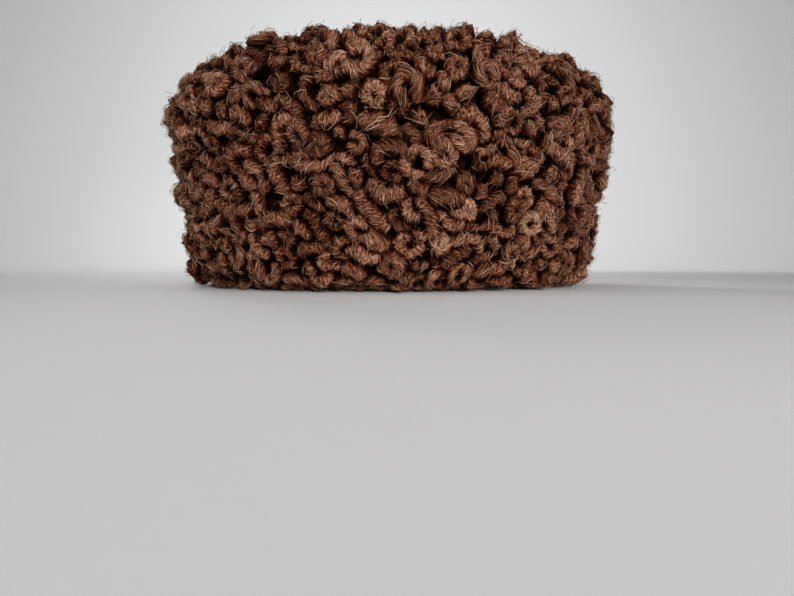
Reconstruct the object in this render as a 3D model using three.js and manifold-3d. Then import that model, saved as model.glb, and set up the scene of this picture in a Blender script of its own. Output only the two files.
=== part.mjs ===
// A Turkmen telpek: a round hat of curly sheepskin, worn with the fleece outside.
// A band of fleece makes the side wall and turns in under the rim, a round piece of
// fleece closes the top, and a dark cloth lining hangs inside.
// Millimetres, +Z up, the front of the hat towards -Y. The hat stands on its rim at
// z = 0, and the origin is the middle of the rim on that surface.
import * as THREE from "three";
import { mergeVertices } from "three/addons/utils/BufferGeometryUtils.js";
import Module from "manifold-3d";

const wasm = await Module();
wasm.setup();

// Driving sizes. Radii are half widths, from left to right.
const headRadius = 92; // the lining's inner wall, for a head of about 59 cm round
const lengthRatio = 1.045; // front to back, over left to right
const ceilingHeight = 103; // the lining's flat ceiling above the rim
const liningWall = 2;
const gap = 0.5; // between one piece and the next
const standingInner = 98; // inner and outer edge of the rim's flat underside
const standingOuter = 113;
const rimRadius = 119; // backing of the side wall at the rim, without its curls
const topRadius = 133; // the same at the widest level, so the wall flares
const widestHeight = 94;
const crownShoulder = 118; // where the backing of the crown turns down to its edge
const crownEdgeHeight = 120; // backing of the crown at that shoulder
const crownHeight = 124; // and at its middle, without its curls
const turnedInHeight = 18; // how far the fleece turns up inside the rim

// How finely round things are cut
const roundSides = 36; // faces round the hat
const curlSides = 6; // faces round a curl, and steps along its round ends and its middle
const curlEndSteps = 1;
const curlSteps = 1;

// Fleece and lining, as the photograph shows them
const fleeceFinish = { color: 0x5c3826, roughness: 0.9, metalness: 0 };
const crownFinish = { color: 0x553424, roughness: 0.9, metalness: 0 };
const liningFinish = { color: 0x14141a, roughness: 0.6, metalness: 0 };

// The seam between the side wall and the crown is a shallow cone through these points.
const liningOutside = headRadius + liningWall;
const liningTop = ceilingHeight + liningWall;
const seamInner = { radius: liningOutside + 2, height: liningTop + 2 };
const seamOuter = { radius: 127, height: 114 };
const seamSlope =
  (seamOuter.height - seamInner.height) / (seamOuter.radius - seamInner.radius);

// Random numbers from a seed, so that the curls lie the same way each time
function seeded(seed) {
  let state = seed;
  return (low, high) => {
    state = (state + 0x6d2b79f5) | 0;
    let mixed = Math.imul(state ^ (state >>> 15), 1 | state);
    mixed = (mixed + Math.imul(mixed ^ (mixed >>> 7), 61 | mixed)) ^ mixed;
    const share = ((mixed ^ (mixed >>> 14)) >>> 0) / 2 ** 32;
    return low + share * (high - low);
  };
}

// A closed three.js geometry as a solid, in its own coordinates
function solidOf(geometry) {
  const bare = geometry.clone();
  bare.deleteAttribute("normal");
  bare.deleteAttribute("uv");
  const merged = mergeVertices(bare, 1e-3);
  return new wasm.Manifold(
    new wasm.Mesh({
      numProp: 3,
      vertProperties: merged.attributes.position.array,
      triVerts: new Uint32Array(merged.index.array),
    }),
  );
}

// The outer body of a solid as a three.js geometry. Small hollows shut in between
// curls are bodies of their own, and are filled by leaving them out.
function geometryOf(solid) {
  const bodies = solid.decompose();
  bodies.sort((a, b) => b.volume() - a.volume());
  const mesh = bodies[0].getMesh();
  const geometry = new THREE.BufferGeometry();
  const place = new THREE.BufferAttribute(new Float32Array(mesh.vertProperties), 3);
  geometry.setAttribute("position", place);
  geometry.setIndex(new THREE.BufferAttribute(new Uint32Array(mesh.triVerts), 1));
  geometry.computeVertexNormals();
  return geometry;
}

// A body turned round the hat's axis from rows of { radius, height }, then made oval
function turned(rows) {
  const profile = rows.map((row) => new THREE.Vector2(row.radius, row.height));
  const geometry = new THREE.LatheGeometry(profile, roundSides);
  geometry.rotateX(Math.PI / 2);
  geometry.scale(1, lengthRatio, 1);
  return geometry;
}

// The outside of the side wall's underwool and skin, from the rim to the seam
const wallOutside = [
  { radius: standingOuter, height: 0 },
  { radius: rimRadius - 1, height: 5 },
  { radius: rimRadius + 2, height: 14 },
  { radius: (rimRadius + topRadius) / 2 + 2, height: widestHeight / 2 + 7 },
  { radius: topRadius, height: widestHeight },
  { radius: topRadius - 1, height: widestHeight + 10 },
  seamOuter,
];

// The whole outline of the side wall: up the outside, along the seam, down the inside
// and round the part that is turned in under the rim
const wallOutline = [
  { radius: standingInner, height: 0 },
  ...wallOutside,
  seamInner,
  { radius: liningOutside + gap, height: seamInner.height - 3 },
  { radius: liningOutside + gap, height: turnedInHeight + 1 },
  { radius: headRadius, height: turnedInHeight },
  { radius: headRadius - 1.5, height: 11 },
  { radius: headRadius + 1.5, height: 4 },
  { radius: standingInner, height: 0 },
];

// Outline of the crown's underwool and skin, from the middle of its underside
const crownBottom = liningTop + gap;
const crownOutline = [
  { radius: 0, height: crownBottom },
  { radius: seamInner.radius - 3, height: crownBottom },
  { radius: seamInner.radius, height: seamInner.height + gap },
  { radius: seamOuter.radius - 1, height: seamOuter.height + gap - seamSlope },
  { radius: crownShoulder, height: crownEdgeHeight },
  { radius: crownShoulder / 2, height: crownHeight - 1 },
  { radius: 0, height: crownHeight },
];

// Outline of the lining, a cap of cloth with a flat ceiling and a rounded edge
const liningBottom = turnedInHeight + 1 + gap;
const liningOutline = [
  { radius: 0, height: ceilingHeight },
  { radius: headRadius - 12, height: ceilingHeight },
  { radius: headRadius - 4, height: ceilingHeight - 3.5 },
  { radius: headRadius, height: ceilingHeight - 12 },
  { radius: headRadius, height: liningBottom },
  { radius: liningOutside, height: liningBottom },
  { radius: liningOutside, height: ceilingHeight - 11.5 },
  { radius: liningOutside - 4, height: ceilingHeight - 2 },
  { radius: headRadius - 11, height: liningTop },
  { radius: 0, height: liningTop },
];

// Where the outside of the side wall lies at a height, and which way it faces there
function wallAt(height) {
  const upper = Math.max(1, wallOutside.findIndex((row) => row.height >= height));
  const a = wallOutside[upper - 1];
  const b = wallOutside[upper];
  const share = (height - a.height) / (b.height - a.height);
  const rise = new THREE.Vector2(b.radius - a.radius, b.height - a.height).normalize();
  return { radius: a.radius + (b.radius - a.radius) * share, out: rise.y, up: -rise.x };
}

// A curl of wool: a short fat roll that bends sideways and dips in at both ends. It
// lies on the surface at a point, turned by an angle from level.
function curl({ centre, outward, turn, radius, length, bend, dip }) {
  const geometry = new THREE.CapsuleGeometry(radius, length, curlEndSteps, curlSides, curlSteps);
  const place = geometry.attributes.position;
  const reach = length / 2 + radius;
  for (let i = 0; i < place.count; i++) {
    const along = place.getY(i) / reach;
    place.setX(i, place.getX(i) + bend * along * along);
    place.setZ(i, place.getZ(i) - dip * along * along);
  }
  const level = new THREE.Vector3(-outward.y, outward.x, 0).normalize();
  const axis = level.applyAxisAngle(outward, turn);
  const side = new THREE.Vector3().crossVectors(axis, outward);
  const frame = new THREE.Matrix4().makeBasis(side, axis, outward).setPosition(centre);
  return solidOf(geometry.applyMatrix4(frame));
}

// A point on a surface turned round the axis, and the outward direction there
function onRound(angle, radius, height, out, up) {
  const across = Math.cos(angle);
  const along = Math.sin(angle);
  return {
    centre: new THREE.Vector3(radius * across, radius * lengthRatio * along, height),
    outward: new THREE.Vector3(out * across, (out * along) / lengthRatio, up).normalize(),
  };
}

// Rows of curls, from the rim up. "sunk" is how far a curl's axis lies inside the
// outline, "turn" how far it may turn from level, in radians, and "shift" how far it
// may move up or down.
const wallRows = [
  { height: 13, count: 24, radius: 11, length: 17, sunk: 3.5, turn: 0.3, shift: 0.7 },
  { height: 32, count: 24, radius: 11.4, length: 18, sunk: 3.5, turn: 0.75, shift: 2.2 },
  { height: 51, count: 25, radius: 11.6, length: 18, sunk: 3.5, turn: 0.75, shift: 2.2 },
  { height: 69, count: 25, radius: 11.6, length: 18, sunk: 3.5, turn: 0.75, shift: 2.2 },
  { height: 87, count: 26, radius: 11.6, length: 18, sunk: 3.5, turn: 0.75, shift: 2.2 },
  { height: 103, count: 27, radius: 10.6, length: 16, sunk: 4, turn: 0.6, shift: 2.2 },
];

// Rings of curls on the crown, from its edge in. "ring" is the ring's radius, and
// "lean" how far the curls there face outwards for each step up.
const crownRings = [
  { ring: 116, count: 22, radius: 10.6, length: 17, sunk: 3.2, turn: 1.2, shift: 1.1, lean: 0.8 },
  { ring: 93, count: 17, radius: 11, length: 18, sunk: 3.2, turn: 1.2, shift: 1.1, lean: 0.1 },
  { ring: 69, count: 12, radius: 11.2, length: 18, sunk: 3.2, turn: 1.2, shift: 1.1, lean: 0.06 },
  { ring: 44, count: 8, radius: 11.2, length: 18, sunk: 3.2, turn: 1.2, shift: 1.1, lean: 0.04 },
  { ring: 19, count: 3, radius: 11.2, length: 18, sunk: 3.2, turn: 1.2, shift: 1.1, lean: 0 },
];

// How far curls of one row differ from each other
const curlUneven = { spacing: 0.16, bend: 7, leastDip: 2.5, mostDip: 5, leastSize: 0.86, mostSize: 1.1 };

// The curls of one row, each a little different from the next. "place" gives the point
// and the outward direction for an angle and a shift.
function rowOfCurls(random, row, place) {
  const start = random(0, 1);
  const step = (2 * Math.PI) / row.count;
  return Array.from({ length: row.count }, (_, i) => {
    const angle = (i + start + random(-curlUneven.spacing, curlUneven.spacing)) * step;
    const turn = random(-row.turn, row.turn);
    const bend = random(-curlUneven.bend, curlUneven.bend);
    const dip = random(curlUneven.leastDip, curlUneven.mostDip);
    const size = random(curlUneven.leastSize, curlUneven.mostSize);
    const shift = random(-row.shift, row.shift);
    const radius = row.radius * size;
    return curl({ ...place(angle, shift), turn, radius, length: row.length * size, bend, dip });
  });
}

// Everything above the seam, moved by a distance, for trimming what grows across it
function aboveSeam(lift) {
  const farRadius = 2 * topRadius;
  const middle = seamInner.height - seamSlope * seamInner.radius + lift;
  const edge = middle + seamSlope * farRadius;
  return solidOf(
    turned([
      { radius: 0, height: middle },
      { radius: farRadius, height: edge },
      { radius: farRadius, height: edge + crownHeight },
      { radius: 0, height: edge + crownHeight },
    ]),
  );
}

// Everything below a level
function belowLevel(level) {
  const width = 4 * topRadius;
  const box = new THREE.BoxGeometry(width, width, crownHeight);
  return solidOf(box.translate(0, 0, level - crownHeight / 2));
}

// The side wall of fleece, trimmed along the seam and flat where it stands
function sideFleece() {
  const random = seeded(11);
  let fused = solidOf(turned(wallOutline));
  for (const row of wallRows) {
    const place = (angle, shift) => {
      const height = row.height + shift;
      const wall = wallAt(height);
      const radius = wall.radius - row.sunk * wall.out;
      return onRound(angle, radius, height - row.sunk * wall.up, wall.out, wall.up);
    };
    for (const each of rowOfCurls(random, row, place)) fused = fused.add(each);
  }
  return geometryOf(fused.subtract(aboveSeam(0)).subtract(belowLevel(0)));
}

// The crown of fleece, trimmed along the seam and flat where it lies on the lining
function crownFleece() {
  const random = seeded(23);
  let fused = solidOf(turned(crownOutline));
  for (const row of crownRings) {
    const inside = Math.max(0, 1 - row.ring / crownShoulder);
    const surface = crownEdgeHeight + (crownHeight - crownEdgeHeight) * Math.sqrt(inside);
    const place = (angle, shift) =>
      onRound(angle, row.ring + shift, surface - row.sunk, row.lean, 1);
    for (const each of rowOfCurls(random, row, place)) fused = fused.add(each);
  }
  return geometryOf(fused.intersect(aboveSeam(gap)).subtract(belowLevel(crownBottom)));
}

// One named piece with its own material
function piece(name, geometry, finish) {
  const mesh = new THREE.Mesh(geometry, new THREE.MeshStandardMaterial(finish));
  mesh.name = name;
  return mesh;
}

const hat = new THREE.Group();
hat.add(
  piece("side_fleece", sideFleece(), fleeceFinish),
  piece("crown_fleece", crownFleece(), crownFinish),
  piece("lining", turned(liningOutline), liningFinish),
);

export default hat;
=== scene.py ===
import bmesh
import bpy
import math
import numpy as np
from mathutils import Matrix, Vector, kdtree


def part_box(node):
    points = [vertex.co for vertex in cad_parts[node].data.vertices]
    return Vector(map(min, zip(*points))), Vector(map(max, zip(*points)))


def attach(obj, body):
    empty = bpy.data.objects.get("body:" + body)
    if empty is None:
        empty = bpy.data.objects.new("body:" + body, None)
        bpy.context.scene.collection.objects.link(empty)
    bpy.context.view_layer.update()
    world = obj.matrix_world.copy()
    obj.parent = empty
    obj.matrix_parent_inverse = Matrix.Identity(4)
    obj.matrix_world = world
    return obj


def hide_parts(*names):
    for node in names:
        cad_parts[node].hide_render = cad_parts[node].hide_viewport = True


# A round hat of curly sheepskin. Metres, +Z up, the front towards -Y, standing on its rim at z = 0.
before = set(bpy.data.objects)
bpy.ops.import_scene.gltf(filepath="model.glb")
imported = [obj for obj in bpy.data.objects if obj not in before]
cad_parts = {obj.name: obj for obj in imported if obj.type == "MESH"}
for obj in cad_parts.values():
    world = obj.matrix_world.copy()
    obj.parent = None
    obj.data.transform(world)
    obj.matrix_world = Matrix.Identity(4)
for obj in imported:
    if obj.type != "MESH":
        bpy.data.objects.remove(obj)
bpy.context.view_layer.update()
liningLow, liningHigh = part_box("lining")
crownLow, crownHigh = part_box("crown_fleece")
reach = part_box("side_fleece")[1].x  # the hat's greatest half width
topHeight = crownHigh.z
liningOutside = liningHigh.x
lengthRatio = liningHigh.y / liningHigh.x  # front to back, over left to right

# Everything is made on a round hat, and stretched from front to back at the end
fleece = {
    "outlineSteps": 500,
    "floorGap": 0.0004,
    "seamHeight": crownLow.z + 0.008,  # a roll above it belongs to the crown
    "rimHeight": 0.0135,  # and one below this to the rim
    "crownEdge": 0.088,  # a crown roll further out than this lies at the edge
    "bed": 0.0056,  # how far the skin lies below the middle of the rolls
}
fleeceRows = [  # radius and height of the surface through the middle of the rolls, from inside the rim
    (liningOutside + 0.0005, 0.0185),
    (liningOutside - 0.0003, 0.0110),
    (liningOutside + 0.0022, 0.0066),
    (liningOutside + 0.0080, 0.0048),
    (reach - 0.0290, 0.0048),
    (reach - 0.0215, 0.0062),
    (reach - 0.0165, 0.0120),
    (reach - 0.0130, 0.0240),
    (reach - 0.0086, 0.0540),
    (reach - 0.0046, 0.0840),
    (reach - 0.0036, topHeight - 0.0353),
    (reach - 0.0050, topHeight - 0.0253),
    (reach - 0.0095, topHeight - 0.0163),
    (reach - 0.0170, topHeight - 0.0101),
    (reach - 0.0280, topHeight - 0.0067),
    (reach - 0.0520, topHeight - 0.0051),
    (reach - 0.0900, topHeight - 0.0043),
    (0.0, topHeight - 0.0039),
]


def throughPoints(points, spots):  # a smooth curve through points, read at spots from 0 to 1
    last = points.shape[-2] - 1
    before = 2 * points[..., :1, :] - points[..., 1:2, :]
    after = 2 * points[..., -1:, :] - points[..., -2:-1, :]
    padded = np.concatenate([before, points, after], axis=-2)
    along = np.clip(spots, 0, 1) * last
    start = np.minimum(along.astype(int), last - 1)
    u = (along - start)[:, None]
    a, b, c, d = (padded[..., start + k, :] for k in range(4))
    slope, bend, twist = c - a, 2 * a - 5 * b + 4 * c - d, 3 * b - a - 3 * c + d
    return 0.5 * (2 * b + slope * u + bend * u**2 + twist * u**3)


def evenly(points, count):  # the same line walked in even steps
    steps = np.linalg.norm(np.diff(points, axis=0), axis=1)
    walked = np.concatenate([[0], np.cumsum(steps)])
    spots = np.linspace(0, walked[-1], count)
    return np.stack([np.interp(spots, walked, points[:, k]) for k in range(points.shape[1])], axis=1)


def unit(vectors):
    return vectors / np.maximum(np.linalg.norm(vectors, axis=-1, keepdims=True), 1e-9)


outline = evenly(throughPoints(np.array(fleeceRows), np.linspace(0, 1, 4000)), fleece["outlineSteps"])
outlineRise = unit(np.gradient(outline, axis=0))
outlineOut = np.stack([outlineRise[:, 1], -outlineRise[:, 0]], axis=1)


# The nearest place on the fleece's surface, the way it faces there, and the height above it
def onFleece(points):
    radius = np.hypot(points[..., 0], points[..., 1])
    flat = np.stack([radius, points[..., 2]], axis=-1)
    gaps = (flat[..., None, 0] - outline[:, 0]) ** 2 + (flat[..., None, 1] - outline[:, 1]) ** 2
    nearest = np.argmin(gaps, axis=-1)
    out = outlineOut[nearest]
    height = ((flat - outline[nearest]) * out).sum(-1)
    level = points[..., :2] / np.maximum(radius, 1e-6)[..., None]
    faces = np.concatenate([level * out[..., :1], out[..., 1:]], axis=-1)
    return points - height[..., None] * faces, faces, height


# Rolls of wool, as short chains of beads that push each other apart until they lie packed
rolls = {
    "seed": 7,
    "count": 1500,
    "beads": 6,
    "rounds": 80,
    "packing": 0.83,  # how close rolls lie, over touching
    "squeeze": 0.36,  # how fast they push each other away
    "endDip": 0.0046,  # how far the ends of a roll go down into the fleece
    "lift": 0.0038,  # how far a roll may be pushed up or down
    "angleJitter": 0.03,
    "headingSpread": 0.9,  # radians from level
    "searchEvery": 10,  # rounds from one search for close beads to the next
    "searchReach": 0.0125,
    "longestMove": 0.0012,  # of a bead in one round
    "settling": 0.92,  # share of its height that a bead keeps in each round
    "stiffness": {1: 0.45, 2: 0.30, 3: 0.25},  # of the links to the next bead, the second and the third
}
rollKinds = {  # share of all, length and radius in metres, bend in radians
    "ball": {"share": 0.22, "length": (0.002, 0.006), "radius": (0.0036, 0.0056), "bend": (0.0, 0.8)},
    "comma": {"share": 0.43, "length": (0.009, 0.016), "radius": (0.0034, 0.0051), "bend": (1.6, 3.6)},
    "wave": {"share": 0.12, "length": (0.014, 0.022), "radius": (0.0036, 0.0054), "bend": (1.2, 3.0)},
    "ring": {"share": 0.16, "length": (0.022, 0.031), "radius": (0.0031, 0.0043), "bend": (3.8, 5.4)},
    "lump": {"share": 0.07, "length": (0.006, 0.014), "radius": (0.0055, 0.0066), "bend": (0.2, 1.2)},
}


def closePairs(points, far):
    tree = kdtree.KDTree(len(points))
    for i, point in enumerate(points):
        tree.insert(point, i)
    tree.balance()
    pairs = []
    for i, point in enumerate(points):
        pairs += [(i, j) for _, j, _ in tree.find_range(point, far) if j > i]
    return np.array(pairs).T


def scatterRolls(rng):
    count, beads = rolls["count"], rolls["beads"]
    girth = outline[:, 0] * np.linalg.norm(np.gradient(outline, axis=0), axis=1)
    area = np.cumsum(girth) / girth.sum()
    index = np.arange(count)
    spot = np.interp((index + 0.5) / count, area, np.arange(len(outline)))
    jitter = rolls["angleJitter"]
    angle = index * math.pi * (3 - math.sqrt(5)) + rng.uniform(-jitter, jitter, count)
    place = np.stack([np.interp(spot, np.arange(len(outline)), outline[:, k]) for k in (0, 1)], axis=1)
    centre = np.stack([place[:, 0] * np.cos(angle), place[:, 0] * np.sin(angle), place[:, 1]], axis=1)
    faces = onFleece(centre)[1]
    kinds = list(rollKinds.values())
    kind = rng.choice(len(kinds), count, p=[row["share"] for row in kinds])
    draws = {}
    for title in ("length", "radius", "bend"):
        low, high = np.array([row[title] for row in kinds])[kind].T
        draws[title] = rng.uniform(low, high)
    bend = draws["bend"] * np.where(rng.random(count) < 0.5, 1, -1)
    heading = rng.normal(0, rolls["headingSpread"], count)
    level = unit(np.cross([0.0, 0.0, 1.0], faces) + 1e-5)
    steep = np.cross(faces, level)
    step = draws["length"] / (beads - 1)
    turn = heading[:, None] + bend[:, None] * (np.arange(beads - 1) / (beads - 2) - 0.5)
    moves = level[:, None] * np.cos(turn)[..., None] + steep[:, None] * np.sin(turn)[..., None]
    walked = np.cumsum(moves * step[:, None, None], axis=1)
    chain = np.concatenate([np.zeros((count, 1, 3)), walked], axis=1)
    chain += (centre - chain.mean(axis=1))[:, None]
    return chain, draws["radius"]


def settle(chain, radius):
    count, beads = chain.shape[:2]
    owner = np.repeat(np.arange(count), beads)
    size = np.repeat(radius, beads)
    links = rolls["stiffness"]
    rests = {over: np.linalg.norm(chain[:, over:] - chain[:, :-over], axis=-1) for over in links}
    for step in range(rolls["rounds"]):
        flat = chain.reshape(-1, 3)
        if step % rolls["searchEvery"] == 0:
            a, b = closePairs(flat, rolls["searchReach"])
            other = owner[a] != owner[b]
            a, b = a[other], b[other]
        gap = flat[a] - flat[b]
        far = np.maximum(np.linalg.norm(gap, axis=1), 1e-6)
        push = np.maximum((size[a] + size[b]) * rolls["packing"] - far, 0) * rolls["squeeze"] / far
        moves = np.zeros_like(flat)
        np.add.at(moves, a, gap * push[:, None])
        np.add.at(moves, b, -gap * push[:, None])
        longest = np.maximum(np.linalg.norm(moves, axis=1, keepdims=True), 1e-9)
        moves *= np.minimum(1, rolls["longestMove"] / longest)
        chain = (flat + moves).reshape(count, beads, 3)
        for over, rest in rests.items():
            span = chain[:, over:] - chain[:, :-over]
            far = np.maximum(np.linalg.norm(span, axis=-1, keepdims=True), 1e-6)
            fix = span * (1 - rest[..., None] / far) * links[over] / 2
            chain[:, :-over] += fix
            chain[:, over:] -= fix
        base, faces, height = onFleece(chain)
        height = np.clip(height * rolls["settling"], -rolls["lift"], rolls["lift"])
        chain = base + faces * height[..., None]
    return chain


rng = np.random.default_rng(rolls["seed"])
chain, rollRadius = scatterRolls(rng)
chain = settle(chain, rollRadius)
print("rolls settled:", len(chain))

# The middle line of each roll, its frame and its thickness
roll = {
    "samples": 15,
    "rings": ((0.016, 7), (0.027, 9), (0.036, 10), (1.0, 13)),  # up to what length, and how many
    "sides": 8,
    "coreShare": 0.88,  # of the roll's thickness; strands of wool lie over it
    "bulge": 0.17,
    "bulgeLength": 0.0075,
    "lumps": 0.13,  # how uneven the roll is round its girth
    "lumpLength": 0.0042,
    "unevenHeight": 0.5,  # how much of a roll's rise and fall along its length stays
    "knobShare": 0.26,  # rolls that stand out of the fleece
    "knobRise": (0.0010, 0.0036),
    "otherRise": (-0.0014, 0.0006),
    "endBend": 2.4,  # how suddenly the ends go down
    "endLength": 0.012,  # a shorter roll dips less
    "dipSpread": (0.2, 1.4),
    "floorRoom": 1.06,  # of the roll's radius, below its middle line
    "ringSpan": (0.14, 0.86),  # where the first and last ring lie, over the half turn from end to end
    "tone": -0.5,  # painted shade: the core is painted this much darker than its strands, for the shade between them
    # painted light on the core, set below its strands': paler on top, darker at the sides
    "paintedLight": -0.15,
    "cell": (0.022, 0.020),  # size of one roll's skin laid out flat
}


def middleLines(chain, radius, rng):
    spots = np.linspace(0, 1, roll["samples"])
    base, faces, height = onFleece(throughPoints(chain, spots))
    average = height.mean(axis=1, keepdims=True)
    height = average + (height - average) * roll["unevenHeight"]
    knob = rng.random((len(chain), 1)) < roll["knobShare"]
    rises = [rng.uniform(*roll[title], (len(chain), 1)) for title in ("knobRise", "otherRise")]
    height = height + np.where(knob, *rises)
    length = np.linalg.norm(np.diff(base, axis=1), axis=-1).sum(1)
    ends = np.abs(spots * 2 - 1) ** roll["endBend"] * np.minimum(1, length / roll["endLength"])[:, None]
    dip = rolls["endDip"] * rng.uniform(*roll["dipSpread"], (len(chain), 1)) * ends
    line = base + faces * (height - dip)[..., None]
    low = fleece["floorGap"] + radius[:, None] * roll["floorRoom"]
    line[..., 2] = np.maximum(line[..., 2], low)
    ahead = np.gradient(base, axis=1)
    along = unit(ahead - (ahead * faces).sum(-1, keepdims=True) * faces)
    return line, along, faces, np.cross(along, faces)


line, along, out, side = middleLines(chain, rollRadius, rng)
rollLength = np.linalg.norm(np.diff(line, axis=1), axis=-1).sum(1)
rollPhase = rng.uniform(0, 2 * math.pi, len(line))
rollMiddle = line[:, roll["samples"] // 2]
rollLift = onFleece(rollMiddle)[2]


def thickness(which, spots):  # radius of the roll at spots from 0 to 1, round at both ends
    reachOut = rollLength[which] / 2 + rollRadius[which]
    way = (spots * 2 - 1) * reachOut
    beyond = np.maximum(np.abs(way) - rollLength[which] / 2, 0) / rollRadius[which]
    rounded = np.sqrt(np.maximum(1 - beyond**2, 0))
    wave = 1 + roll["bulge"] * np.sin(way / roll["bulgeLength"] * 2 * math.pi + rollPhase[which])
    return rollRadius[which] * rounded * wave


def lumps(which, spots, angles):  # how much a roll's radius grows or shrinks at a place on it
    way = (spots * 2 - 1) * (rollLength[which] / 2 + rollRadius[which]) / roll["lumpLength"]
    phase = rollPhase[which]
    oval = np.sin(2 * angles + way + phase)
    threeSided = 0.8 * np.sin(3 * angles - 1.3 * way + 5 * phase)
    return 1 + roll["lumps"] * (oval + threeSided)


# Place and frame on the roll's middle line, which runs on straight past its ends
def alongRoll(which, spots):
    reachOut = rollLength[which] / 2 + rollRadius[which]
    way = (spots * 2 - 1) * reachOut
    share = np.clip(way / rollLength[which] + 0.5, 0, 1)
    beyond = way - np.clip(way, -rollLength[which] / 2, rollLength[which] / 2)
    at = share * (roll["samples"] - 1)
    low = np.minimum(at.astype(int), roll["samples"] - 2)
    mix = (at - low)[..., None]
    place, ahead, up, across = (
        field[which, low] * (1 - mix) + field[which, low + 1] * mix for field in (line, along, out, side)
    )
    ahead = unit(ahead)
    return place + ahead * beyond[..., None], ahead, unit(up), unit(across)


# A tube of rings with a point at each end: its faces, and the place of each corner on it rolled out flat
def closedTube(rings, sides):
    quads, quadSpots, tris, triSpots = [], [], [], []
    for k in range(rings - 1):
        for s in range(sides):
            corners = [(k, s), (k, s + 1), (k + 1, s + 1), (k + 1, s)]
            quads.append([row * sides + column % sides for row, column in corners])
            quadSpots.append([((row + 1) / (rings + 1), column / sides) for row, column in corners])
    for s in range(sides):
        after = (s + 1) % sides
        last = (rings - 1) * sides
        first, final = 1 / (rings + 1), rings / (rings + 1)
        left, middle, right = s / sides, (s + 0.5) / sides, (s + 1) / sides
        tris.append([after, s, rings * sides])
        triSpots.append([(first, right), (first, left), (0, middle)])
        tris.append([last + s, last + after, rings * sides + 1])
        triSpots.append([(final, left), (final, right), (1, middle)])
    return np.array(quads), np.array(quadSpots), np.array(tris), np.array(triSpots)


class Pile:  # many tubes, kept as arrays until they become one mesh
    def __init__(self):
        self.points, self.values, self.maps, self.groups, self.total = [], [], [], [], 0

    def add(self, points, tube, values, maps, cell):  # cell is the size of one tube rolled out flat
        count, each = points.shape[:2]
        self.groups.append((self.total, count, each, tube, cell))
        self.points.append(points.reshape(-1, 3))
        self.values.append(values.reshape(-1, values.shape[-1]))
        self.maps.append(maps.reshape(-1, 2))
        self.total += count * each


bakeMap = {
    "fill": 0.98,  # share of the square to try first
    "shrink": 0.99,
    "margin": 0.06,  # of a cell, left free on each side
}


def cellPlaces(groups):  # a place on the unit square for every tube, in bands of like cells
    share = bakeMap["fill"] / math.sqrt(sum(count * cell[0] * cell[1] for _, count, _, _, cell in groups))
    while True:
        places, top = [], 0.0
        for _, count, _, _, cell in groups:
            wide, high = cell[0] * share, cell[1] * share
            columns = int(1 / wide)
            index = np.arange(count)
            corner = np.stack([index % columns * wide, index // columns * high + top], axis=1)
            places.append((corner, wide, high))
            top += math.ceil(count / columns) * high
        if top <= 1:
            return places
        share *= bakeMap["shrink"]


def makeMesh(name, pile, material):
    points = np.concatenate(pile.points) * np.array([1, lengthRatio, 1])
    corners, sizes, bakeSpots = [], [], []
    for (start, count, each, tube, _), (places, wide, high) in zip(pile.groups, cellPlaces(pile.groups)):
        shift = (np.arange(count) * each + start)[:, None, None]
        for faces, spots in (tube[:2], tube[2:]):
            corners.append((faces[None] + shift).ravel())
            sizes.append(np.full(count * len(faces), faces.shape[1]))
            inside = bakeMap["margin"] + (1 - 2 * bakeMap["margin"]) * spots
            spread = places[:, None, None] + inside[None] * np.array([wide, high])
            bakeSpots.append(spread.reshape(-1, 2))
    corners, sizes, bakeSpots = (np.concatenate(rows) for rows in (corners, sizes, bakeSpots))
    mesh = bpy.data.meshes.new(name)
    mesh.vertices.add(len(points))
    mesh.vertices.foreach_set("co", points.astype(np.float32).ravel())
    mesh.loops.add(len(corners))
    mesh.loops.foreach_set("vertex_index", corners.astype(np.int32))
    mesh.polygons.add(len(sizes))
    mesh.polygons.foreach_set("loop_start", (np.cumsum(sizes) - sizes).astype(np.int32))
    mesh.update(calc_edges=True)
    mesh.polygons.foreach_set("use_smooth", np.ones(len(sizes), bool))
    values = np.concatenate(pile.values)
    # tone is the wool's own; the other two carry painted light and the depth for painted shade
    for k, title in enumerate(("tone", "paintedLight", "shadeDepth")):
        layer = mesh.attributes.new(title, "FLOAT", "POINT")
        layer.data.foreach_set("value", values[:, k].astype(np.float32))
    for title, spots in (("strands", np.concatenate(pile.maps)[corners]), ("OFBake", bakeSpots)):
        layer = mesh.uv_layers.new(name=title)
        layer.uv.foreach_set("vector", spots.astype(np.float32).ravel())
    mesh.materials.append(material)
    piece = bpy.data.objects.new(name, mesh)
    bpy.context.scene.collection.objects.link(piece)
    print(name, "triangles:", int((sizes - 2).sum()))
    return piece


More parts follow.
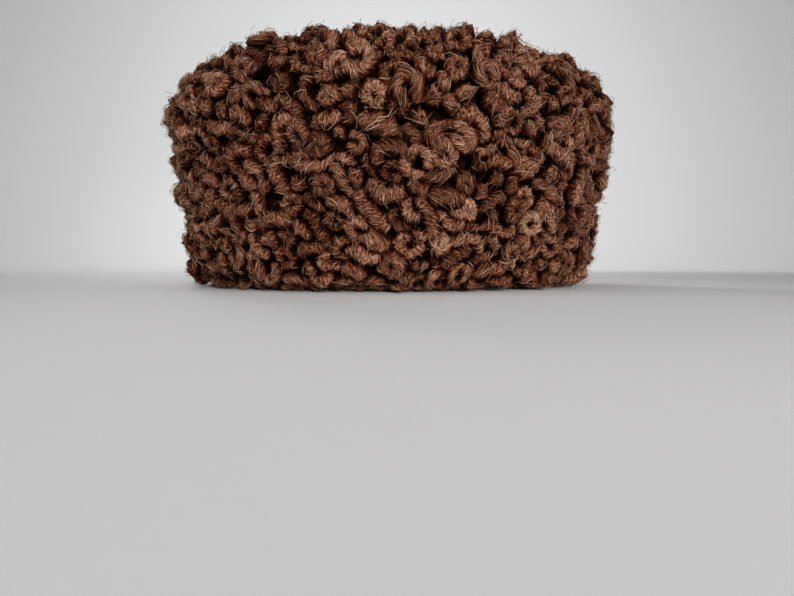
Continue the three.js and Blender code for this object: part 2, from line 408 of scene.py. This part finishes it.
# The core of each roll, and strands of wool that wind over it
strand = {
    "pitch": 0.00098,  # from one strand to the next along a roll
    "width": 0.00036,
    "ridge": 0.00019,  # how far its back stands out
    "steps": 4,
    "sit": 0.93,  # where strands lie, over the roll's thickness
    "slant": 0.45,  # how far strands run along the roll as they go round it
    "slantSpread": 0.45,
    "reachRound": (0.50, 1.05),  # radians to each side of the strand's middle
    "leanSpread": 0.62,  # and of its middle from the top of the roll
    "wobble": 0.00070,
    "toneSpread": 1.4,
    "buried": (0.55, 150, 1.25),  # fewer strands on rolls that lie low: least share, slope, most share
    "freeShare": 0.25,  # strands with an end that stands off the roll
    "free": (0.1, 0.4),
    "overEnds": 1.7,  # how much of the two round ends strands cover, in radii
    "ends": 0.02,  # no strand lies nearer to a roll's end, over its length
    "startJitter": 0.35,
    "slantWave": 0.35,
    "slantEach": 0.42,  # how far single strands differ
    "leanMost": 1.2,
    "wobbleTurns": (1.6, 3.4),
    "lift": (-0.05, 0.16),
    "liftWave": 0.03,
    "taper": (2.5, 0.30),  # how suddenly a strand thins, and its least share
    "widthSpread": (0.5, 1.4),
    "ridgeSpread": (0.5, 1.5),
    "sink": 0.0007,  # how far its ends go into the roll
    # painted shade on a strand's edges and ends, and a painted highlight along its ridge
    "edgeShade": -0.1,
    "ridgeHighlight": 0.2,
    "endShade": -0.2,
    "cell": (0.010, 0.0018),
}
toneSpread = 0.5  # from roll to roll
rollTone = rng.normal(0, toneSpread, len(line))
rollSlant = rng.normal(0, strand["slantSpread"], len(line))
rollSlant += np.where(rng.random(len(line)) < 0.5, strand["slant"], -strand["slant"])


def addCores(pile, chosen):
    shortest = 0
    for longest, rings in roll["rings"]:
        whole = rollLength[chosen] + 2 * rollRadius[chosen]
        addCoresOfLength(pile, chosen[(whole >= shortest) & (whole < longest)], rings)
        shortest = longest


def addCoresOfLength(pile, which, rings):
    sides = roll["sides"]
    spots = (1 - np.cos(np.linspace(*roll["ringSpan"], rings) * math.pi)) / 2
    at = np.broadcast_to(which[:, None], (len(which), rings))
    spread = np.broadcast_to(spots, at.shape)
    place, _, up, across = alongRoll(at, spread)
    angles = ((np.arange(sides) + 0.5) / sides * 2 - 1) * math.pi
    size = thickness(at, spread)[:, :, None] * roll["coreShare"]
    size = size * lumps(at[:, :, None], spread[:, :, None], angles)
    around = up[:, :, None] * np.cos(angles)[:, None] + across[:, :, None] * np.sin(angles)[:, None]
    points = place[:, :, None] + around * size[..., None]
    ends = np.stack([np.zeros(len(which)), np.ones(len(which))], axis=1)
    endPlace, endAhead, _, _ = alongRoll(np.stack([which, which], axis=1), ends)
    inset = rollRadius[which][:, None, None] * (1 - roll["coreShare"])
    endPlace = endPlace + endAhead * inset * np.array([1, -1])[:, None]
    points = np.concatenate([points.reshape(len(which), -1, 3), endPlace], axis=1)
    points[..., 2] = np.maximum(points[..., 2], fleece["floorGap"])
    # the roll's own random tone, lowered by the core's painted shade
    tone = np.broadcast_to(rollTone[which][:, None] + roll["tone"], points.shape[:2])
    # painted light: the core is painted paler where it faces out of the fleece and darker at its sides
    paintedLight = np.broadcast_to(np.cos(angles) + roll["paintedLight"], (len(which), rings, sides)).reshape(len(which), -1)
    paintedLight = np.concatenate([paintedLight, np.zeros((len(which), 2))], axis=1)
    # height over the fleece's middle surface, which sets the painted shade deep between the rolls
    lift = rollLift[which][:, None]
    shadeDepth = (lift[:, None] + size * np.cos(angles)).reshape(len(which), -1)
    shadeDepth = np.concatenate([shadeDepth, np.repeat(lift, 2, axis=1)], axis=1)
    v = rollRadius[which][:, None, None] * angles * np.ones((1, rings, 1))
    whole = rollLength[which] + 2 * rollRadius[which]
    u = spots[None, :, None] * whole[:, None, None] - rollSlant[which][:, None, None] * v
    maps = np.stack([v, u], axis=-1).reshape(len(which), -1, 2) * 1000
    maps = np.concatenate([maps, maps[:, :1], maps[:, -1:]], axis=1)
    values = np.stack([tone, paintedLight, shadeDepth * 1000], axis=-1)
    pile.add(points, closedTube(rings, sides), values, maps, roll["cell"])


def addStrands(pile, which, rng, pitch):
    least, slope, most = strand["buried"]
    closeness = np.clip(1 + rollLift[which] * slope, least, most) / pitch
    covered = rollLength[which] + strand["overEnds"] * rollRadius[which]
    fibres = np.maximum(4, (covered * closeness).astype(int))
    owner = np.repeat(which, fibres)
    order = np.concatenate([(np.arange(n) + 0.5) / n for n in fibres])
    total = len(owner)
    steps = strand["steps"]
    sweep = np.linspace(-1, 1, steps)
    reachOut = rollLength[owner] + 2 * rollRadius[owner]
    low, high = strand["ends"], 1 - strand["ends"]
    start = low + (high - low) * order + rng.normal(0, strand["startJitter"], total) * pitch / reachOut
    slant = rollSlant[owner] + strand["slantWave"] * np.sin(order * 5 + rollPhase[owner])
    slant += rng.normal(0, strand["slantEach"], total)
    wide = rng.uniform(*strand["reachRound"], total)
    lean = np.clip(rng.normal(0, strand["leanSpread"], total), -strand["leanMost"], strand["leanMost"])
    angles = sweep[None] * wide[:, None] + lean[:, None]
    phase = rng.uniform(0, 2 * math.pi, (2, total, 1))
    wave = strand["wobble"] * np.sin(angles * rng.uniform(*strand["wobbleTurns"], total)[:, None] + phase[0])
    drift = (slant[:, None] * angles * rollRadius[owner][:, None] + wave) / reachOut[:, None]
    spots = np.clip(start[:, None] + drift, low, high)
    at = np.broadcast_to(owner[:, None], spots.shape)
    place, _, up, across = alongRoll(at, spots)
    free = np.where(rng.random(total) < strand["freeShare"], rng.uniform(*strand["free"], total), 0)[:, None]
    endShare = (1 + sweep[None] * np.where(rng.random(total) < 0.5, 1, -1)[:, None]) / 2
    lift = 1 + rng.uniform(*strand["lift"], total)[:, None]
    lift = lift + strand["liftWave"] * np.sin(angles * 2.3 + phase[1]) + free * endShare**4
    size = thickness(at, spots) * strand["sit"] * lift * lumps(at, spots, angles)
    around = up * np.cos(angles)[..., None] + across * np.sin(angles)[..., None]
    centre = place + around * size[..., None]
    run = unit(np.gradient(centre, axis=1))
    wideWay = unit(np.cross(run, around))
    sharpness, least = strand["taper"]
    taper = np.sqrt(np.maximum(1 - np.abs(sweep) ** sharpness, least))[None, :, None]
    half = strand["width"] / 2 * rng.uniform(*strand["widthSpread"], total)[:, None, None] * taper
    ridge = strand["ridge"] * rng.uniform(*strand["ridgeSpread"], total)[:, None, None] * taper
    points = np.stack([centre - wideWay * half, centre + around * ridge, centre + wideWay * half], axis=2)
    ends = [centre[:, k] + (run[:, k] * way - around[:, k]) * strand["sink"] for k, way in ((0, -1), (-1, 1))]
    points = np.concatenate([points.reshape(total, -1, 3), np.stack(ends, axis=1)], axis=1)
    points[..., 2] = np.maximum(points[..., 2], fleece["floorGap"])
    tone = rollTone[owner] + rng.normal(0, strand["toneSpread"], total)
    tone = np.broadcast_to(tone[:, None], points.shape[:2])
    # painted light: strands paler where they face out, a painted highlight on the ridge, painted shade at the
    # edges and ends
    edge, back = strand["edgeShade"], strand["ridgeHighlight"]
    paintedLight = np.repeat(np.cos(angles), 3, axis=1) + np.tile([edge, back, edge], steps)
    paintedLight = np.concatenate([paintedLight, np.cos(angles[:, [0, -1]]) + strand["endShade"]], axis=1)
    # height over the fleece's middle surface, which sets the painted shade deep between the rolls
    shadeDepth = rollLift[owner][:, None] + size * np.cos(angles)
    shadeDepth = np.concatenate([np.repeat(shadeDepth, 3, axis=1), shadeDepth[:, :1], shadeDepth[:, -1:]], axis=1)
    length = (wide * 2 * rollRadius[owner] * 1000)[:, None, None]
    v = np.broadcast_to((sweep[None, :, None] + 1) / 2 * length, (total, steps, 3))
    u = np.broadcast_to([0, 0.5, 1.0], (total, steps, 3)) + rng.uniform(0, 40, total)[:, None, None]
    maps = np.stack([v, u], axis=-1).reshape(total, -1, 2)
    maps = np.concatenate([maps, maps[:, :1], maps[:, -1:]], axis=1)
    values = np.stack([tone, paintedLight, shadeDepth * 1000], axis=-1)
    pile.add(points, closedTube(steps, 3), values, maps, strand["cell"])


# Loose hairs: wide loops and short fuzz that stand off the rolls
hairKinds = {  # how many, radius of the curl, its turn in radians, thickness, lean from the top, and steps
    "loops": (900, (0.0012, 0.0026), (2.2, 5.2), 0.00008, 0.6, 5),
    "fuzz": (1900, (0.0006, 0.0015), (1.4, 3.8), 0.00008, 1.0, 3),
    "wisps": (1100, (0.0011, 0.0023), (1.2, 3.4), 0.00007, 1.7, 3),
}
hair = {
    "along": (0.08, 0.92),  # where hairs grow on a roll
    "root": 0.88,  # how deep their roots lie, over the roll's thickness
    "start": (-0.4, 0.7),
    "sideways": 0.6,
    "thickSpread": (0.7, 1.5),
    "tone": (0.3, 1.0),  # middle and spread
    "paintedLight": 0.7,
    "shadeDepth": 2.5,
    "cell": (0.006, 0.0009),
}


def addHairs(pile, chosen, kind, rng):
    count, sizes, turns, finest, leanSpread, steps = kind
    share = len(chosen) / len(line)
    total = int(count * share)
    owner = chosen[rng.integers(0, len(chosen), total)]
    spots = rng.uniform(*hair["along"], total)
    place, ahead, up, across = alongRoll(owner, spots)
    lean = rng.normal(0, leanSpread, total)[:, None]
    depth = (thickness(owner, spots) * hair["root"])[:, None]
    base = place + (up * np.cos(lean) + across * np.sin(lean)) * depth
    turnWay = rng.uniform(0, 2 * math.pi, total)[:, None]
    first = unit(ahead * np.cos(turnWay) + across * np.sin(turnWay))
    size = rng.uniform(*sizes, total)
    turn = rng.uniform(*turns, total)
    start = rng.uniform(*hair["start"], total)
    sweep = np.linspace(0, 1, steps + 2)
    angle = start[:, None] + sweep[None] * turn[:, None]
    flat = first[:, None] * (np.sin(angle) - np.sin(start)[:, None])[..., None]
    rise = up[:, None] * (np.cos(start)[:, None] - np.cos(angle))[..., None]
    drift = across[:, None] * (sweep[None] * rng.normal(0, hair["sideways"], total)[:, None])[..., None]
    centre = base[:, None] + (flat + rise + drift) * size[:, None, None]
    run = unit(np.gradient(centre, axis=1))
    a = unit(np.cross(run, first[:, None] + 0.3 * across[:, None]) + 1e-6)
    b = np.cross(run, a)
    ring = np.arange(3) / 3 * 2 * math.pi
    thick = finest * rng.uniform(*hair["thickSpread"], total)[:, None, None, None]
    around = a[:, 1:-1, None] * np.cos(ring)[:, None] + b[:, 1:-1, None] * np.sin(ring)[:, None]
    inner = centre[:, 1:-1, None] + around * thick
    points = np.concatenate([inner.reshape(total, -1, 3), centre[:, :1], centre[:, -1:]], axis=1)
    points[..., 2] = np.maximum(points[..., 2], fleece["floorGap"])
    tone = np.broadcast_to(rng.normal(*hair["tone"], total)[:, None], points.shape[:2])
    # hairs get one even level of painted light and of depth for painted shade
    paintedLight = np.full(points.shape[:2], hair["paintedLight"])
    shadeDepth = np.full(points.shape[:2], hair["shadeDepth"])
    maps = np.broadcast_to(rng.uniform(0, 40, (total, 1, 2)), points.shape[:2] + (2,))
    pile.add(points, closedTube(steps, 3), np.stack([tone, paintedLight, shadeDepth], axis=-1), maps, hair["cell"])


def node(tree, kind, **values):
    made = tree.nodes.new(kind)
    for key, value in values.items():
        if key in made.inputs.keys():
            made.inputs[key].default_value = value
        else:
            setattr(made, key, value)
    return made


def mathNode(tree, operation, first, second, third=None, clamp=False):
    made = tree.nodes.new("ShaderNodeMath")
    made.operation = operation
    made.use_clamp = clamp
    for k, value in enumerate((first, second, third)):
        if isinstance(value, bpy.types.NodeSocket):
            tree.links.new(value, made.inputs[k])
        elif value is not None:
            made.inputs[k].default_value = value
    return made.outputs[0]


def rampNode(tree, factor, stops):
    ramp = tree.nodes.new("ShaderNodeValToRGB")
    marks = ramp.color_ramp.elements
    for mark, (place, color) in zip(marks, (stops[0], stops[-1])):
        mark.position = place
        mark.color = (*color, 1)
    for place, color in stops[1:-1]:
        marks.new(place).color = (*color, 1)
    tree.links.new(factor, ramp.inputs["Fac"])
    return ramp.outputs["Color"]


def addBump(tree, height, strength, distance):
    bump = node(tree, "ShaderNodeBump", Strength=strength, Distance=distance)
    tree.links.new(height, bump.inputs["Height"])
    tree.links.new(bump.outputs[0], tree.nodes["Principled BSDF"].inputs["Normal"])


def plainMaterial(name, color, roughness, specular=0.3):
    material = bpy.data.materials.new(name)
    material.use_nodes = True
    shader = material.node_tree.nodes["Principled BSDF"]
    shader.inputs["Base Color"].default_value = (*color, 1)
    shader.inputs["Roughness"].default_value = roughness
    shader.inputs["Specular IOR Level"].default_value = specular
    return material


woolFinish = {
    "stops": [  # from the painted shade of the gaps to the painted highlight on the backs of the strands, through the wool's own browns
        (0.00, (0.0040, 0.0008, 0.0003)),
        (0.25, (0.0480, 0.0110, 0.0040)),
        (0.50, (0.1520, 0.0590, 0.0285)),
        (0.75, (0.3350, 0.1740, 0.1020)),
        (1.00, (0.5400, 0.3500, 0.2450)),
    ],
    "middle": 0.262,
    "toneShare": 0.15,
    "paintedLightShare": 0.55,  # painted light: strands are painted paler on top of a roll than at its sides
    "streakShare": 1.8,
    "paintedShadeShare": 0.42,  # and painted shade darkens wool deep between the rolls
    "shadeDepthFrom": -2.5,  # painted shade from darkest to palest, in millimetres from the surface through the middle of the rolls
    "shadeDepthTo": 3.5,
    "roughness": 0.62,
    "specular": 0.02,
    "paintedLightMiddle": 0.6,  # the values of painted light and of depth at which they leave the shade as it is
    "paintedShadeMiddle": 0.7,
    "streaks": (0.35, 1.15, 1),  # for each millimetre along a strand and across it
    "distortion": 0.7,
    "bumpStrength": 0.8,
    "bump": 0.0006,
    "plain": (0.8, 0.8, 0.8),
}


def woolMaterial(name):
    finish = woolFinish
    material = plainMaterial(name, finish["plain"], finish["roughness"], finish["specular"])
    tree = material.node_tree
    shader = tree.nodes["Principled BSDF"]
    tone, paintedLight, shadeDepth = (
        node(tree, "ShaderNodeAttribute", attribute_name=title) for title in ("tone", "paintedLight", "shadeDepth")
    )
    strands = node(tree, "ShaderNodeUVMap", uv_map="strands")
    stretch = node(tree, "ShaderNodeMapping")
    stretch.inputs["Scale"].default_value = finish["streaks"]
    tree.links.new(strands.outputs[0], stretch.inputs["Vector"])
    streaks = node(
        tree, "ShaderNodeTexNoise", Scale=1.0, Detail=2.0, Roughness=0.5, Distortion=finish["distortion"]
    )
    tree.links.new(stretch.outputs[0], streaks.inputs["Vector"])
    # painted shade: the lower the wool lies, the darker it is painted
    depth = node(tree, "ShaderNodeMapRange", interpolation_type="SMOOTHSTEP")
    depth.inputs["From Min"].default_value = finish["shadeDepthFrom"]
    depth.inputs["From Max"].default_value = finish["shadeDepthTo"]
    tree.links.new(shadeDepth.outputs["Fac"], depth.inputs["Value"])
    # the shade mixes the wool's own streaks and tone with painted light and painted shade
    shade = finish["middle"] - finish["streakShare"] / 2
    shade -= finish["paintedLightShare"] * finish["paintedLightMiddle"] + finish["paintedShadeShare"] * finish["paintedShadeMiddle"]
    for source, share in (
        (streaks.outputs["Fac"], "streakShare"),
        (tone.outputs["Fac"], "toneShare"),
        (paintedLight.outputs["Fac"], "paintedLightShare"),
        (depth.outputs["Result"], "paintedShadeShare"),
    ):
        shade = mathNode(tree, "MULTIPLY_ADD", source, finish[share], shade)
    tree.links.new(rampNode(tree, shade, finish["stops"]), shader.inputs["Base Color"])
    addBump(tree, streaks.outputs["Fac"], finish["bumpStrength"], finish["bump"])
    return material


underwoolShadeFinish = {
    # near-black stops: painted shade of the gaps; the noise is the underwool's own curl
    "stops": [
        (0.30, (0.0030, 0.0008, 0.0003)),
        (0.62, (0.0120, 0.0035, 0.0015)),
        (0.80, (0.0500, 0.0180, 0.0080)),
    ],
    "plain": (0.01, 0.003, 0.0015),
    "roughness": 1.0,
    "specular": 0.02,
    "curls": 900,  # for each metre
    "detail": 3.0,
    "grain": 0.6,
    "distortion": 1.5,
    "bumpStrength": 0.8,
    "bump": 0.0009,
}


def underwoolShadeMaterial():  # short matted wool that shows between the rolls, painted near-black as the shade in the gaps
    finish = underwoolShadeFinish
    material = plainMaterial("underwoolShade", finish["plain"], finish["roughness"], finish["specular"])
    tree = material.node_tree
    shader = tree.nodes["Principled BSDF"]
    place = node(tree, "ShaderNodeTexCoord")
    curls = node(tree, "ShaderNodeTexNoise", Scale=finish["curls"], Detail=finish["detail"])
    curls.inputs["Roughness"].default_value = finish["grain"]
    curls.inputs["Distortion"].default_value = finish["distortion"]
    tree.links.new(place.outputs["Object"], curls.inputs["Vector"])
    tree.links.new(rampNode(tree, curls.outputs["Fac"], finish["stops"]), shader.inputs["Base Color"])
    addBump(tree, curls.outputs["Fac"], finish["bumpStrength"], finish["bump"])
    return material


clothFinish = {
    "stops": [(0.25, (0.0045, 0.0045, 0.0075)), (0.75, (0.0130, 0.0130, 0.0200))],
    "plain": (0.008, 0.008, 0.013),
    "threads": 2.2,  # for each millimetre
    "weave": 0.18,  # how much the threads show in the colour
    "patches": 0.05,
    "roughness": 0.55,
    "sheen": 0.35,
    "sheenRoughness": 0.4,
    "bumpStrength": 0.7,
    "bump": 0.00012,
}


def clothMaterial():  # a plain weave in blue-black, on the cloth's own map in millimetres
    finish = clothFinish
    material = plainMaterial("lining_cloth", finish["plain"], finish["roughness"])
    tree = material.node_tree
    shader = tree.nodes["Principled BSDF"]
    shader.inputs["Sheen Weight"].default_value = finish["sheen"]
    shader.inputs["Sheen Roughness"].default_value = finish["sheenRoughness"]
    cloth = node(tree, "ShaderNodeUVMap", uv_map="cloth")
    split = node(tree, "ShaderNodeSeparateXYZ")
    tree.links.new(cloth.outputs[0], split.inputs[0])
    waves = []
    for direction in ("X", "Y"):
        turn = mathNode(tree, "MULTIPLY", split.outputs[direction], finish["threads"] * 2 * math.pi)
        waves.append(mathNode(tree, "SINE", turn, None))
    weave = mathNode(tree, "MULTIPLY", *waves)
    patches = node(tree, "ShaderNodeTexNoise", Scale=finish["patches"], Detail=3.0, Roughness=0.6)
    tree.links.new(cloth.outputs[0], patches.inputs["Vector"])
    shade = mathNode(tree, "MULTIPLY_ADD", weave, finish["weave"], patches.outputs["Fac"])
    tree.links.new(rampNode(tree, shade, finish["stops"]), shader.inputs["Base Color"])
    addBump(tree, weave, finish["bumpStrength"], finish["bump"])
    return material


wool = woolMaterial("wool")
underwoolShade = underwoolShadeMaterial()
liningCloth = clothMaterial()
print("materials made: wool, underwool and lining cloth")

# The rolls in pieces: the rim, four quarters of the wall, and the crown's edge and middle.
# Each row has the rolls, the CAD node that they replace, and how much further apart their strands lie
rollOut = np.hypot(rollMiddle[:, 0], rollMiddle[:, 1])
rollQuarter = ((np.degrees(np.arctan2(rollMiddle[:, 1], rollMiddle[:, 0])) + 405) // 90).astype(int) % 4
onCrown = rollMiddle[:, 2] > fleece["seamHeight"]
onRim = rollMiddle[:, 2] < fleece["rimHeight"]
onWall = ~onCrown & ~onRim
pieces = {
    "rim_curls": (onRim, "side_fleece", 2.3),
    "crown_curls_edge": (onCrown & (rollOut > fleece["crownEdge"]), "crown_fleece", 1.1),
    "crown_curls_top": (onCrown & (rollOut <= fleece["crownEdge"]), "crown_fleece", 1.4),
}
for k, title in enumerate(("right", "back", "left", "front")):
    pieces["side_curls_" + title] = (onWall & (rollQuarter == k), "side_fleece", 1.0)


def keepPiece(piece, nodeName):
    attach(piece, "root")
    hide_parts(nodeName)


for name, (chosen, nodeName, spacing) in pieces.items():
    pile = Pile()
    which = np.flatnonzero(chosen)
    addCores(pile, which)
    addStrands(pile, which, rng, strand["pitch"] * spacing)
    keepPiece(makeMesh(name, pile, wool), nodeName)
hairPieces = {
    "side_hairs": (~onCrown, "side_fleece"),
    "crown_hairs": (onCrown, "crown_fleece"),
}
for name, (chosen, nodeName) in hairPieces.items():
    pile = Pile()
    for kind in hairKinds.values():
        addHairs(pile, np.flatnonzero(chosen), kind, rng)
    keepPiece(makeMesh(name, pile, wool), nodeName)


def spinAround(bm, shapes, steps):
    whole = 2 * math.pi
    up = (0, 0, 1)
    bmesh.ops.spin(bm, geom=shapes, cent=(0, 0, 0), axis=up, angle=whole, steps=steps, use_merge=True)
    bmesh.ops.remove_doubles(bm, verts=bm.verts, dist=1e-5)
    bmesh.ops.recalc_face_normals(bm, faces=bm.faces)


def meshPiece(name, bm, material):
    mesh = bpy.data.meshes.new(name)
    bm.to_mesh(mesh)
    bm.free()
    for face in mesh.polygons:
        face.use_smooth = True
    mesh.materials.append(material)
    piece = bpy.data.objects.new(name, mesh)
    bpy.context.scene.collection.objects.link(piece)
    return piece


def turnedBody(name, rows, steps, material):
    bm = bmesh.new()
    points = [bm.verts.new((radius, 0, height)) for radius, height in rows]
    edges = [bm.edges.new(pair) for pair in zip(points, points[1:])]
    if rows[0][0] > 0:
        edges.append(bm.edges.new((points[-1], points[0])))
    spinAround(bm, points + edges, steps)
    bmesh.ops.scale(bm, vec=(1, lengthRatio, 1), verts=bm.verts)
    return meshPiece(name, bm, material)


# The skin with its short underwool, which closes the gaps between the rolls, painted near-black as their
# shade
skin = {
    "steps": 96,
    "wallFrom": 14,  # rows of the fleece's outline, of outlineSteps
    "wallStep": 14,
    "inside": liningOutside + 0.0008,
    "insideFrom": 0.0200,  # height of its lower end inside the hat
    "seamInside": (liningOutside + 0.0022, crownLow.z + 0.0017),
    "seamBelow": 0.001,  # how far the side's skin ends below the crown's
    "seamFold": 0.004,
    "ceilingGap": 0.0006,
    "crownInside": liningOutside - 0.001,
}
sunk = outline - outlineOut * fleece["bed"]
sunk = np.stack([np.maximum(sunk[:, 0], 0), np.maximum(sunk[:, 1], fleece["floorGap"])], axis=1)
seamRow = int(np.argmax(sunk[:, 1] > fleece["seamHeight"] - skin["seamBelow"]))
wallRows = [tuple(row) for row in sunk[skin["wallFrom"]:seamRow:skin["wallStep"]]]
wallRows = [row for row in wallRows if row[0] > skin["inside"]]
wallRows = [(skin["inside"], skin["insideFrom"])] + wallRows + [tuple(sunk[seamRow]), skin["seamInside"]]
wallRows.append((skin["inside"], skin["seamInside"][1] - skin["seamFold"]))
keepPiece(turnedBody("side_underwool", wallRows, skin["steps"], underwoolShade), "side_fleece")
crownRows = [tuple(row) for row in sunk[seamRow + 2:-1:skin["wallStep"]]] + [(0.0, sunk[-1, 1])]
crownFloor = liningHigh.z + skin["ceilingGap"]
crownRows = [(0.0, crownFloor), (skin["crownInside"], crownFloor)] + crownRows
keepPiece(turnedBody("crown_underwool", crownRows, skin["steps"], underwoolShade), "crown_fleece")
print("underwool made, rows of the side and the crown:", len(wallRows), len(crownRows))

# The lining: a band of cloth gathered on an oval top, with a sewn edge where it meets the fleece
lining = {
    "wall": 0.0016,
    "low": liningLow.z,
    "ceiling": liningHigh.z - 0.0004,
    "radius": liningOutside - 0.0004,
    "shoulder": 0.012,
    "seamWidth": 0.0030,
    "seamRise": 0.0012,
    "hem": 0.0040,
    "hemRise": 0.0008,
    "bandRows": 12,
    "shoulderRows": 6,
    "topRows": 5,
    "steps": 144,
    "folds": 24,
    "foldDepth": 0.0024,
    "foldReach": 0.016,  # how far the gathers run from a seam
    "foldFade": 1.5,
    "hemFolds": 0.7,  # depth of the gathers at the hem, over those at the top
    "slack": 0.25,  # depth of the folds between, over those at the top
    "foldTop": 0.4,  # no gathers above this share of the shoulder, from the ceiling
    "foldInside": 0.05,  # nor nearer to the middle than this
    "flatFrom": 0.7,  # faces that point up or down more than this are mapped from above
}


def liningOuter():  # radius and height from the hem up to the middle of the top
    radius, ceiling, shoulder = lining["radius"], lining["ceiling"], lining["shoulder"]
    heights = np.linspace(lining["low"], ceiling - shoulder, lining["bandRows"])
    band = [(radius, height) for height in heights]
    turns = np.linspace(0, math.pi / 2, lining["shoulderRows"] + 1)[1:]
    bend = [(radius - shoulder * (1 - math.cos(t)), ceiling - shoulder * (1 - math.sin(t))) for t in turns]
    inwards = np.linspace(radius - shoulder, 0, lining["topRows"] + 1)[1:]
    top = [(radiusHere, ceiling) for radiusHere in inwards]
    return np.array(band + bend + top)


def liningFolds(angle, height):  # how far the gathered cloth draws in
    top = lining["ceiling"] - lining["shoulder"]
    nearTop = np.clip(1 - (top - height) / lining["foldReach"], 0, 1)
    nearHem = np.clip(1 - (height - lining["low"]) / lining["foldReach"], 0, 1)
    uneven = angle + 0.05 * np.sin(5 * angle + 1.3) + 0.03 * np.sin(11 * angle)
    waves = 0.5 + 0.5 * np.sin(uneven * lining["folds"])
    slack = lining["slack"] * (0.5 + 0.5 * np.sin(7 * angle + 40 * height))
    gathered = np.maximum(nearTop, lining["hemFolds"] * nearHem) ** lining["foldFade"]
    return lining["foldDepth"] * (waves * gathered + slack)


def makeLining():
    outer = liningOuter()
    rise = unit(np.gradient(outer, axis=0))
    inward = np.stack([-rise[:, 1], rise[:, 0]], axis=1)
    walked = np.concatenate([[0], np.cumsum(np.linalg.norm(np.diff(outer, axis=0), axis=1))])
    bandEnd = lining["ceiling"] - lining["shoulder"] - lining["low"]
    seams = np.exp(-(((walked - bandEnd) / lining["seamWidth"]) ** 2))
    hem = walked < lining["hem"]
    depth = lining["wall"] + lining["seamRise"] * seams + lining["hemRise"] * hem
    inner = outer + inward * depth[:, None]
    inner[:, 0] = np.maximum(inner[:, 0], 0)
    inner[-1, 0] = 0
    rows = [tuple(row) for row in inner[::-1]] + [tuple(row) for row in outer]
    piece = turnedBody("lining_cloth", rows, lining["steps"], liningCloth)
    foldsBelow = lining["ceiling"] - lining["foldTop"] * lining["shoulder"]
    for vertex in piece.data.vertices:
        x, y, height = vertex.co
        angle = math.atan2(y / lengthRatio, x)
        radius = math.hypot(x, y / lengthRatio)
        if height < foldsBelow and radius > lining["foldInside"]:
            share = 1 - liningFolds(angle, height) / radius
            vertex.co = (x * share, y * share, height)
    cloth = piece.data.uv_layers.new(name="cloth")
    for face in piece.data.polygons:
        flat = abs(face.normal.z) > lining["flatFrom"]
        facing = math.atan2(face.center.y, face.center.x)
        for corner, index in zip(face.loop_indices, face.vertices):
            x, y, height = piece.data.vertices[index].co
            turn = (math.atan2(y, x) - facing + math.pi) % (2 * math.pi) - math.pi + facing
            spot = (x, y) if flat else (turn * lining["radius"], height)
            cloth.data[corner].uv = (spot[0] * 1000, spot[1] * 1000)
    keepPiece(piece, "lining")


makeLining()

# Floor and backdrop in one round sweep
stage = {
    "tone": (0.93, 0.93, 0.93),
    "roughness": 0.9,
    "floorRadius": 1.5,
    "sweepRadius": 1.3,
    "sweepSteps": 12,
    "height": 2.6,
    "steps": 96,
}


def makeStage():
    rows = [(0.0, 0.0), (stage["floorRadius"], 0.0)]
    for k in range(1, stage["sweepSteps"] + 1):
        angle = math.pi / 2 * k / stage["sweepSteps"]
        out, up = math.sin(angle), 1 - math.cos(angle)
        rows.append((stage["floorRadius"] + out * stage["sweepRadius"], up * stage["sweepRadius"]))
    rows.append((stage["floorRadius"] + stage["sweepRadius"], stage["height"]))
    bm = bmesh.new()
    points = [bm.verts.new((radius, 0, height)) for radius, height in rows]
    edges = [bm.edges.new(pair) for pair in zip(points, points[1:])]
    spinAround(bm, points + edges, stage["steps"])
    floor = meshPiece("floor", bm, plainMaterial("floor_paper", stage["tone"], stage["roughness"]))


# Light and camera
white = (1, 1, 1)
lights = {  # place, target, width, power, colour, and spread in degrees
    "key": ((0.38, -1.58, 0.28), (0.01, -0.12, 0.055), 0.34, 0.88, (1.0, 0.985, 0.96), 26),
    "top": ((0.0, -0.3, 2.0), (0, -0.4, 0.0), 1.6, 3.3, white, 180),
    "back": ((-0.80, 1.50, 0.90), (0, 0.1, 0.05), 0.6, 0.40, white, 32),
    "wall": ((0.0, 0.9, 1.9), (0, 2.1, 0.60), 1.2, 16.0, white, 130),
    "wall_in_front": ((0.0, -0.9, 1.9), (0, -2.1, 0.35), 1.2, 4.4, white, 130),
}
surroundings = {
    "color": (0.97, 0.98, 1.0),
    "strength": 0.11,
}
view = {
    "place": (0.004, -0.416, 0.014),
    "target": (0.004, 0.0, -0.0093),
    "lens": 27.2,
    "sensor": 36,
    "nearest": 0.005,
}


def aimed(kind, place, target, name):
    made = bpy.data.objects.new(name, kind)
    bpy.context.scene.collection.objects.link(made)
    made.location = place
    made.rotation_euler = (Vector(target) - Vector(place)).to_track_quat("-Z", "Y").to_euler()
    return made


def areaLight(name, place, target, width, power, color, spread):
    light = bpy.data.lights.new(name, "AREA")
    light.shape = "SQUARE"
    light.size = width
    light.energy = power
    light.color = color
    light.spread = math.radians(spread)
    aimed(light, place, target, name).visible_camera = False


def makeSurroundings():
    world = bpy.data.worlds.new("studio")
    bpy.context.scene.world = world
    world.use_nodes = True
    background = world.node_tree.nodes["Background"]
    background.inputs["Color"].default_value = (*surroundings["color"], 1)
    background.inputs["Strength"].default_value = surroundings["strength"]


def makeCamera():
    lens = bpy.data.cameras.new("camera")
    lens.lens = view["lens"]
    lens.sensor_width = view["sensor"]
    lens.clip_start = view["nearest"]
    bpy.context.scene.camera = aimed(lens, view["place"], view["target"], "camera")


makeStage()
makeSurroundings()
for name, values in lights.items():
    areaLight(name, *values)
makeCamera()
bpy.context.scene.view_settings.view_transform = "Standard"
print("stage set, lights:", len(lights))
